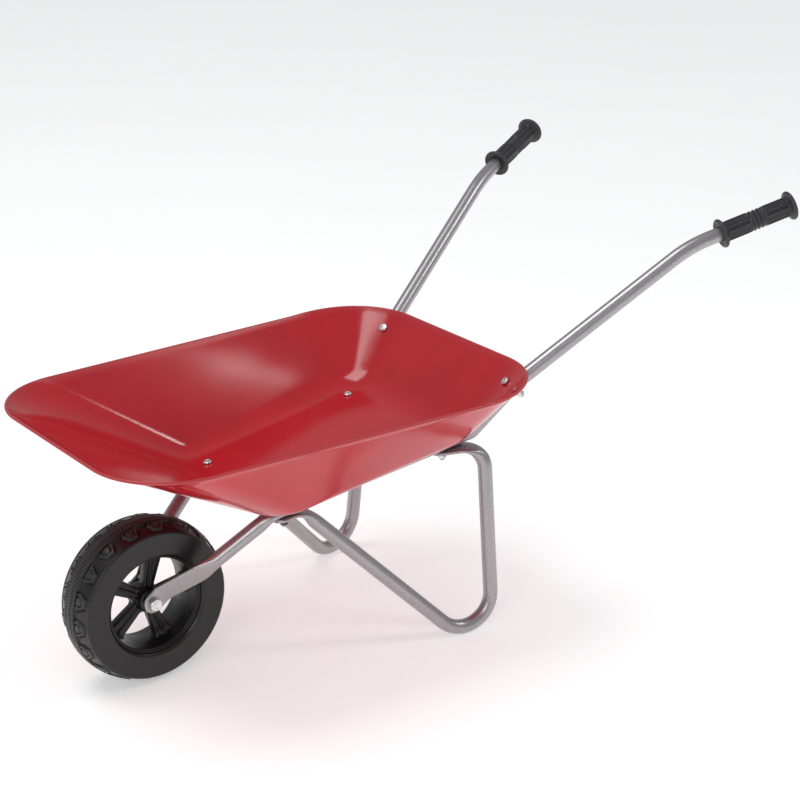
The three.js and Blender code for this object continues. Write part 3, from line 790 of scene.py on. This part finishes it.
def grip_profile():
    """(height along the grip, radius) from the tube's mouth over the outside to the middle of the end."""
    bore = TUBE_R + GAP
    mouth = [(4, bore), (1.6, bore + 0.2), (1.0, bore + 1.5), (1.2, COLLAR_R - 3.6)]
    collar = [(COLLAR_H / 2 - COLLAR_H / 2 * math.cos(a), COLLAR_R - 2.4 + 2.4 * math.sin(a))
              for a in np.linspace(0.15, math.pi - 0.15, 12)]
    neck = [(COLLAR_H + 0.7 + 2.2 * t, GRIP_R + 1.6 * (1 - t) ** 2) for t in np.linspace(0, 1, 5)]
    near = mouth + collar + neck
    far = [(GRIP_LENGTH - height, radius) for height, radius in reversed(collar + neck)]
    body = [(height, GRIP_R) for height in np.linspace(near[-1][0], far[0][0], 112)[1:-1]]
    dish = [(1.3, COLLAR_R - 4), (2.2, COLLAR_R - 6.5), (2.3, 4), (2.3, 0.4)]
    return np.array(near + body + far + [(GRIP_LENGTH - h, r) for h, r in dish])


def grip_relief(height, angle):
    """How far the surface stands out from the plain sleeve, in millimetres."""
    middle = abs(height - GRIP_LENGTH / 2)
    rings = np.where(middle < RING_ZONE - 0.2, np.cos(middle * 2 * math.pi / RING_PITCH) - 0.4, 0)
    rings = rings * smooth_step(RING_ZONE - middle)
    length = middle - FLUTE_MIDDLE
    wide = (angle * FLUTES / (2 * math.pi) + 0.5) % 1 - 0.5
    sideways = wide * 2 * math.pi * GRIP_R / FLUTES
    reach = np.sqrt(np.maximum(0, abs(length) - FLUTE_HALF) ** 2 + sideways ** 2)
    flute = 0.8 * smooth_step((3.6 - reach) / 0.8) - 1.7 * smooth_step((2.3 - reach) / 0.8)
    return rings + flute


def moulded_grip(side_name, side):
    profile = grip_profile()
    axis = on_side(GRIP_DIR, side)
    across = unit(np.cross(axis, v(0, 0, 1)))
    third = np.cross(axis, across)
    angle = full_turn(GRIP_SIDES)
    height, radius = profile[:, :1], profile[:, 1:]
    on_body = (abs(radius - GRIP_R) < 0.05) & (height > 4) & (height < GRIP_LENGTH - 4)
    relief = np.where(on_body, grip_relief(height, angle[None, :] + 0.45), 0)
    full = radius + relief
    spin = np.outer(np.cos(angle), across) + np.outer(np.sin(angle), third)
    rings = on_side(GRIP_AT, side) + height[..., None] * axis + full[..., None] * spin
    raised = np.clip(relief / 0.8, 0, 1) + (radius > GRIP_R + 3) * 0.5
    return skin(f"moulded_grip_{side_name}", rings, masks={"raised": np.broadcast_to(raised, full.shape)})


for side_name, side in SIDES:
    grip = moulded_grip(side_name, side)
    finish_piece(grip, GRIP_RUBBER, "frame", "grip_rubber", f"grip_{side_name}")

# %% [markdown]
# ## The tyre
#
# The tyre is one hollow moulding with a flat face each side, rounded shoulders, a raised band round the
# crown with fine cross ribs, and a row of six-sided blocks on each shoulder. The blocks are real relief:
# every point of the tread is pushed in or out by how deep inside its own hexagon it lies.

# %% Tread relief
BLOCKS = 18
BLOCK_TURN = math.radians(16)
BAND_HALF = 9.0
BLOCK_Y = 14.2
BLOCK_REACH = 9.4
BLOCK_RING_R = 86.5
TREAD_HALF = 24
RIBS = 168


def ramp(value, low, high):
    return smooth_step((value - low) / (high - low))


def tread_relief(y, angle):
    """Height in millimetres over the plain tyre, for points at a distance y from the middle."""
    off = abs(y)
    pitch = 2 * math.pi / BLOCKS
    turn = (angle - BLOCK_TURN + pitch / 2) % pitch - pitch / 2
    along, sideways = turn * BLOCK_RING_R, off - BLOCK_Y
    hexagon = np.maximum(abs(sideways), abs(sideways) * 0.5 + abs(along) * 0.866)
    rim_line = 1 - ramp(abs(hexagon - BLOCK_REACH) - 0.5, 0, 0.7)
    outer = ramp(BLOCK_REACH - 0.9 - hexagon, 0, 0.6)
    groove = ramp(BLOCK_REACH - 3.4 - hexagon, 0, 0.6) - ramp(BLOCK_REACH - 5.0 - hexagon, 0, 0.6)
    blocks = (1.9 * outer - 1.3 * rim_line - 1.8 * groove) * ramp(off, BAND_HALF + 1.6, BAND_HALF + 2.6)
    ribs = 0.5 + 0.5 * np.cos(angle * RIBS)
    rib_rows = ramp(off, 1.2, 1.8) * (1 - ramp(off, 6.6, 7.4))
    band = -0.75 * ramp(ribs, 0.55, 0.85) * rib_rows
    trench = -2.4 * ramp(off, BAND_HALF - 0.2, BAND_HALF + 0.5)
    trench = trench * (1 - ramp(off, BAND_HALF + 1.7, BAND_HALF + 2.6))
    return np.where(off < TREAD_HALF, blocks + band + trench, 0)


# %% The tyre
TYRE_BORE = 54.5
TYRE_STEPS = 6 * RIBS


def tyre_profile():
    """(radius, distance from the middle) over one half, from the bore to the crown."""
    lips = [(TYRE_BORE, 24.4), (TYRE_BORE + 0.2, 26.6), (TYRE_BORE + 1.6, 26.9), (TYRE_BORE + 1.8, 28.4),
            (TYRE_BORE + 2.6, TYRE_HALF)]
    face = [(r, TYRE_HALF) for r in np.linspace(59, 78.4, 9)]
    face[2:-1] = [(r, TYRE_HALF - 0.12) for r, _ in face[2:-1]]
    shoulder = [(78.4 + 3.6 * math.sin(a), TYRE_HALF - 2.6 + 2.6 * math.cos(a))
                for a in np.linspace(0.2, 1.3, 6)]
    slope = [(85.6 - 0.155 * (y - 12.0) - 0.012 * (y - 12.0) ** 2, y) for y in np.linspace(24.6, 9.6, 36)]
    crown = [(WHEEL_R - 0.6 * (y / BAND_HALF) ** 2 - 0.05, y) for y in np.linspace(9.2, 0, 22)]
    return lips + face + shoulder + slope + crown


def tyre():
    half = tyre_profile()
    profile = np.array(half + [(r, -y) for r, y in reversed(half[:-1])])
    radius, y = profile[:, :1], profile[:, 1:]
    angle = full_turn(TYRE_STEPS)
    relief = tread_relief(y, angle[None, :])
    full = np.minimum(radius + relief, WHEEL_R)
    sideways = np.broadcast_to(y, full.shape)
    rings = np.stack([full * np.cos(angle), sideways, WHEEL_R + full * np.sin(angle)], axis=-1)
    raised = np.clip(relief / 1.9, 0, 1) * (abs(y) < TREAD_HALF)
    return skin("moulded_tyre", rings, looped=True, masks={"raised": raised})


finish_piece(tyre(), TYRE_RUBBER, "wheel", "tyre_black", "tyre")

# %% [markdown]
# ## The rim
#
# The middle of the wheel is a moulded rim: a barrel with stepped lips, five spokes that widen outwards,
# each stiffened by a rib along its middle, and a hub. Splitting it into barrel, hub and spokes keeps each
# one a simple closed shape that sinks a little way into the next, as a moulding blends into itself.

# %% Barrel and hub
BARREL_R = TYRE_BORE - GAP
HUB_R = 13.5
HUB_HALF = 15.5
BORE_R = 8.8
AXLE_AT = v(0, 0, WHEEL_R)


def both_faces(half):
    return half + [(r, -y) for r, y in reversed(half)]


barrel_half = [(BARREL_R, 25.2), (53.2, 25.5), (52.9, 24.2), (52.0, 23.9), (51.7, 22.3), (50.8, 21.9),
               (50.5, 20.2), (49.6, 14.0), (48.4, 7.0), (48.0, 1.0)]
barrel = turned("rim_barrel", rounded(both_faces(barrel_half), 0.35, 3), 192, AXLE_AT)
hub_half = [(BORE_R, HUB_HALF), (HUB_R - 3, HUB_HALF), (HUB_R - 1.2, HUB_HALF - 1.0), (HUB_R, HUB_HALF - 4),
            (HUB_R + 0.8, 6.5), (HUB_R + 2.2, 5.0)]
hub = turned("rim_hub", rounded(both_faces(hub_half), 0.6, 3), 96, AXLE_AT)
finish_piece(barrel, RIM_PLASTIC, "wheel", "rim_black", "wheel_rim")
finish_piece(hub, RIM_PLASTIC, "wheel", "rim_black")

# %% Spokes
SPOKES = 5
SPOKE_TURN = math.radians(104)
SPOKE_START = 11.5
SPOKE_END = 50.0


def spoke_section(w, d, rib):
    """The outline, w and d from its middle to its sides: raised edges, and a rib along each face."""
    left = [(-w, 0.0), (-w, d - 1.6), (-w + 0.5, d - 0.6), (-w + 1.6, d - 0.2), (-0.55 * w, d - 0.9),
            (-1.9, d - 1.0), (-1.2, d - 0.6), (-1.0, d + rib - 0.4), (-0.5, d + rib)]
    top = left + [(-x, z) for x, z in reversed(left)]
    under = [(x, -z) for x, z in reversed(top[1:-1])]
    return np.array(top + under)


def spoke(number):
    turn = SPOKE_TURN + 2 * math.pi * number / SPOKES
    out, side = v(math.cos(turn), 0, math.sin(turn)), v(-math.sin(turn), 0, math.cos(turn))
    rings = []
    for t in np.linspace(0, 1, 22):
        reach = SPOKE_START + (SPOKE_END - SPOKE_START) * t
        flare = 3.0 * ramp(t, 0.82, 1.0) ** 2 + 1.5 * (1 - ramp(t, 0.0, 0.15))
        section = spoke_section(5.6 + 3.8 * t + flare, 6.0 + 1.2 * flare, 1.6)
        rings.append(AXLE_AT + out * reach + section[:, :1] * side + section[:, 1:] * v(0, 1, 0))
    return skin(f"rim_spoke_{number + 1}", rings)


for number in range(SPOKES):
    finish_piece(spoke(number), RIM_PLASTIC, "wheel", "rim_black")

# %% [markdown]
# ## Zinc plating
#
# Screws, washers and nuts are bright zinc: a hard white metal shine with a faint blue and straw tint from
# the plating bath, dulled in small specks. The front nuts are plain oiled steel, so they look dark.


# %% The plating recipes
def plated(name, light, tint, gloss):
    metal = Finish(name)
    cloud = metal.noise(0.004, detail=3)
    specks = metal.noise(0.0006, detail=2).between(0.62, 0.74)
    colour = metal.blend(cloud.between(0.35, 0.7), light, tint)
    rough = gloss + 0.10 * cloud + 0.25 * specks
    normal = metal.bump(cloud + 0.5 * specks, 0.12, 0.0003)
    return metal.surface(Base_Color=colour, Metallic=1.0, Roughness=rough, Normal=normal)


ZINC = plated("bright_zinc", rgb(0.80, 0.80, 0.78), rgb(0.66, 0.69, 0.72), 0.20)
DARK_STEEL = plated("oiled_steel", rgb(0.10, 0.09, 0.085), rgb(0.06, 0.055, 0.05), 0.38)
GREY_BUSH = black_rubber("grey_bush", rgb(0.20, 0.20, 0.20), rgb(0.30, 0.30, 0.30), 0.0012, 0.45)

# %% [markdown]
# ## Screws
#
# A pan head is a low dome with a cross-shaped recess for the driver. The head is a fan of rings over a
# disc, and each point inside the cross is pushed down, which gives a real recess instead of a painted one.
# The tail that shows below the nut has a thread, made by letting the radius rise and fall with a helix.

# %% Pan-head screws
SCREW_R = 2.5
HEAD_R = 5.0
HEAD_H = 2.8
PITCH = 0.8
THREAD_DEPTH = 0.42
SCREW_SIDES = 72
WASHER_H = 1.2
NUT_H = 4.5
TAIL_PAST_NUT = 3.0


def cross_depth(x, y):
    """Depth of the driver's recess: two crossed slots that narrow towards the bottom."""
    one = ramp(2.7 - abs(x), 0, 0.7) * ramp(0.75 - abs(y), 0, 0.3)
    other = ramp(2.7 - abs(y), 0, 0.7) * ramp(0.75 - abs(x), 0, 0.3)
    return 1.5 * np.maximum(one, other)


def screw_frame(direction):
    axis = unit(direction)
    across = unit(np.cross(axis, v(0.31, 0.17, 0.93) if abs(axis[2]) < 0.9 else v(1, 0.2, 0)))
    return axis, across, np.cross(axis, across)


def pan_head_screw(name, at, out, grip, seat):
    axis, across, third = screw_frame(out)
    angle = full_turn(SCREW_SIDES)
    x, y = np.cos(angle), np.sin(angle)
    top = seat + HEAD_H
    rings = []

    def ring(radius, height):
        radius = np.broadcast_to(radius, angle.shape)
        height = np.broadcast_to(height, angle.shape)
        level = at + np.outer(height, axis)
        rings.append(level + np.outer(radius * x, across) + np.outer(radius * y, third))

    for radius in np.linspace(0.15, HEAD_R - 1.3, 16):
        dome = top - 0.5 * (radius / HEAD_R) ** 2
        ring(radius, dome - cross_depth(radius * x, radius * y))
    for turn in np.linspace(0.3, 1.45, 7):
        ring(HEAD_R - 1.3 + 1.3 * math.sin(turn), seat + 0.7 + (HEAD_H - 1.0) * math.cos(turn))
    ring(HEAD_R, seat + 0.4)
    ring(HEAD_R - 0.3, seat)
    ring(SCREW_R, seat)
    tail = grip + WASHER_H + GAP + NUT_H + TAIL_PAST_NUT
    ring(SCREW_R, -grip)
    for height in np.linspace(-grip - 0.2, 0.5 - tail, 64):
        ridge = abs(((height / PITCH - angle / (2 * math.pi)) % 1) - 0.5) * 2
        ring(SCREW_R - THREAD_DEPTH + THREAD_DEPTH * ramp(ridge, 0.1, 0.9), height)
    ring(SCREW_R - 0.8, -tail)
    return skin(name, rings)


# %% Washers and nuts
WASHER_R = 5.5
WASHER_BORE = 2.8
NUT_FLATS = 8.0
NUT_SIDES = 96


def flat_washer(name, at, out, outer, bore, height):
    profile = rounded([(bore, 0), (outer, 0), (outer, height), (bore, height)], 0.3, 3)
    return turned(name, profile, 72, at, out)


def hexagon_radius(angle, flats):
    """How far the edge of a hexagon is from its middle, in each direction."""
    within = (angle + math.pi / 6) % (math.pi / 3) - math.pi / 6
    return flats / 2 / np.cos(within)


def hex_nut(name, at, out, flats, bore, height):
    """A nut: the hexagon's corners are cut back by a cone at both faces, and the bore is chamfered."""
    axis, across, third = screw_frame(out)
    angle = full_turn(NUT_SIDES)
    full = np.ones(NUT_SIDES)
    hexagon = hexagon_radius(angle, flats)
    cone = flats / 2 * 0.97
    rows = [(full * bore, 0.5), (full * (bore + 0.5), 0.0), (full * (cone - 0.3), 0.0),
            (np.minimum(hexagon, cone + 0.1), 0.12), (np.minimum(hexagon, cone + 0.45), 0.35),
            (np.minimum(hexagon, cone + 0.9), 0.62), (hexagon, 0.95)]
    rows = rows + [(radius, height - lift) for radius, lift in reversed(rows)]
    spin = np.outer(np.cos(angle), across) + np.outer(np.sin(angle), third)
    return skin(name, [at + axis * lift + radius[:, None] * spin for radius, lift in rows], looped=True)


# %% All six screwed joints
def screwed_joint(place, screw, side_name, side):
    out, at = on_side(-screw["into"], side), on_side(screw["at"], side)
    washer_at = screw["grip"] + WASHER_H
    nut_at = washer_at + GAP + NUT_H
    head = pan_head_screw(f"{place}_screw_{side_name}", at, out, screw["grip"], screw["seat"])
    finish_piece(head, ZINC, "frame", "zinc", f"{place}_bolt_{side_name}")
    name = f"{place}_plain_washer_{side_name}"
    ring = flat_washer(name, at - out * washer_at, out, WASHER_R, WASHER_BORE, WASHER_H)
    finish_piece(ring, ZINC, "frame", "zinc", f"{place}_washer_{side_name}")
    name = f"{place}_hex_nut_{side_name}"
    nut = hex_nut(name, at - out * nut_at, out, NUT_FLATS, WASHER_BORE, NUT_H)
    steel, slot = (DARK_STEEL, "dark_steel") if place == "floor_front" else (ZINC, "zinc")
    finish_piece(nut, steel, "frame", slot, f"{place}_nut_{side_name}")


for place, screw in SCREWS.items():
    for side_name, side in SIDES:
        screwed_joint(place, screw, side_name, side)

# %% [markdown]
# ## The axle
#
# A hexagon bolt passes through both flat tube ends and a sleeve, on which the wheel's two bushes turn. Its
# head is on the user's left and its nut on the right, each against a flattened tube end.

# %% The axle bolt
AXLE_R = 4.0
SEAT = PLATE_Y + PLATE_HALF + GAP
AXLE_FLATS = 13.0
AXLE_PITCH = 1.25
AXLE_THREAD = 0.6
AXLE_NUT_H = 6.5
AXLE_WASHER_R = 8.0
BOLT_SIDES = 144
LEFT = v(0, 1, 0)


def hex_head_bolt(name):
    angle = full_turn(BOLT_SIDES)
    full = np.ones(BOLT_SIDES)
    hexagon = hexagon_radius(angle, AXLE_FLATS)
    flat = AXLE_FLATS / 2 * 0.97
    head = [(full * 0.3, 4.75), (full * 3.4, 4.75), (full * 3.9, 5.0), (full * (flat - 0.5), 5.2),
            (np.minimum(hexagon, flat), 5.1), (np.minimum(hexagon, flat + 0.35), 4.85),
            (np.minimum(hexagon, flat + 0.9), 4.4), (hexagon, 3.9), (hexagon, 0.4), (hexagon - 0.3, 0.0)]
    rows = [(radius, SEAT + lift) for radius, lift in head]
    rows += [(full * AXLE_R, SEAT), (full * AXLE_R, 1 - SEAT)]
    for height in np.linspace(-SEAT + 0.8, -SEAT - 8.4, 90):
        ridge = abs(((height / AXLE_PITCH - angle / (2 * math.pi)) % 1) - 0.5) * 2
        rows.append((AXLE_R - AXLE_THREAD + AXLE_THREAD * ramp(ridge, 0.1, 0.9), height))
    rows.append((full * (AXLE_R - 1), -SEAT - 9))
    spin = np.column_stack([np.cos(angle), 0 * angle, np.sin(angle)])
    return skin(name, [AXLE_AT + LEFT * height + radius[:, None] * spin for radius, height in rows])


# %% The axle's pieces
finish_piece(hex_head_bolt("axle_hex_bolt"), ZINC, "frame", "zinc", "axle_bolt")
nut_at = AXLE_AT - LEFT * (SEAT + AXLE_NUT_H)
axle_nut = hex_nut("axle_hex_nut", nut_at, LEFT, AXLE_FLATS, AXLE_R + GAP, AXLE_NUT_H)
finish_piece(axle_nut, ZINC, "frame", "zinc", "axle_nut")
WASHER_FROM = SLEEVE_HALF + GAP
for side_name, start in (("left", WASHER_FROM), ("right", -WASHER_FROM - AXLE_WASHER_H)):
    name, at = f"axle_plain_washer_{side_name}", AXLE_AT + LEFT * start
    ring = flat_washer(name, at, LEFT, AXLE_WASHER_R, AXLE_R + GAP, AXLE_WASHER_H)
    finish_piece(ring, ZINC, "frame", "zinc", f"axle_washer_{side_name}")

# %% [markdown]
# The sleeve and the two bushes are small turned parts deep inside the hub. The measured ones already have
# the right shape, so they stay and only get their finish.

# %% Finishes for the hidden parts
for name, material in (("axle_sleeve", ZINC), ("hub_bush_left", GREY_BUSH), ("hub_bush_right", GREY_BUSH)):
    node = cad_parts[name]
    node.data.materials.clear()
    node.data.materials.append(material)
    print(name, "keeps its shape")

# %% [markdown]
# ## Floor and light
#
# A pale floor runs out beyond the view. One small soft light stands behind on the user's left, where the
# far wall of the tray mirrors it, a broad one hangs overhead, and one in front fills in the shadows.

# %% Floor
FLOOR_SIZE = 16.0
FLOOR_GLOW = 0.41


def pale_floor():
    sheet = Finish("pale_floor")
    mottle = sheet.noise(0.6, detail=3)
    colour = sheet.blend(mottle, rgb(0.93, 0.93, 0.93), rgb(0.96, 0.96, 0.96))
    return sheet.surface(Base_Color=colour, Roughness=0.7, Emission_Color=colour, Emission_Strength=FLOOR_GLOW)


h = FLOOR_SIZE / 2
floor_mesh = bpy.data.meshes.new("floor")
floor_mesh.from_pydata([(-h, -h, 0), (h, -h, 0), (h, h, 0), (-h, h, 0)], [], [(0, 1, 2, 3)])
floor = bpy.data.objects.new("floor", floor_mesh)
bpy.context.scene.collection.objects.link(floor)
floor_mesh.materials.append(pale_floor())

# %% Lights
TRAY_MIDDLE = v(-230, -140, 240)
SKY_COLOUR = (0.97, 0.98, 1.0, 1)
SKY_STRENGTH = 0.42


def soft_light(name, direction, distance, size, power, along=v(1, 0, 0)):
    """A rectangle of light that faces the tray, with its long side in a given direction."""
    data = bpy.data.lights.new(name, "AREA")
    data.shape = "RECTANGLE"
    data.size, data.size_y = size
    data.energy = power
    lamp = bpy.data.objects.new(name, data)
    back = unit(v(*direction))
    side = unit(along - back * (along @ back))
    turn = Matrix(np.column_stack([side, np.cross(back, side), back]).tolist())
    lamp.matrix_world = Matrix.Translation(in_metres(TRAY_MIDDLE + back * distance)) @ turn.to_4x4()
    bpy.context.scene.collection.objects.link(lamp)
    print(name, "stands at", [round(c, 2) for c in lamp.matrix_world.translation])
    return lamp


soft_light("wall_softbox", (-0.578, 0.546, 0.607), 2140, (0.44, 0.40), 5.0, v(-0.80, -0.35, -0.45))
soft_light("overhead", (0.35, -0.2, 1.0), 3400, (1.6, 1.6), 36)
soft_light("front_fill", (1.0, 0.9, 0.55), 3500, (1.2, 1.2), 16)

world = bpy.data.worlds.new("studio")
world.use_nodes = True
sky = world.node_tree.nodes["Background"]
sky.inputs["Color"].default_value = SKY_COLOUR
sky.inputs["Strength"].default_value = SKY_STRENGTH
bpy.context.scene.world = world
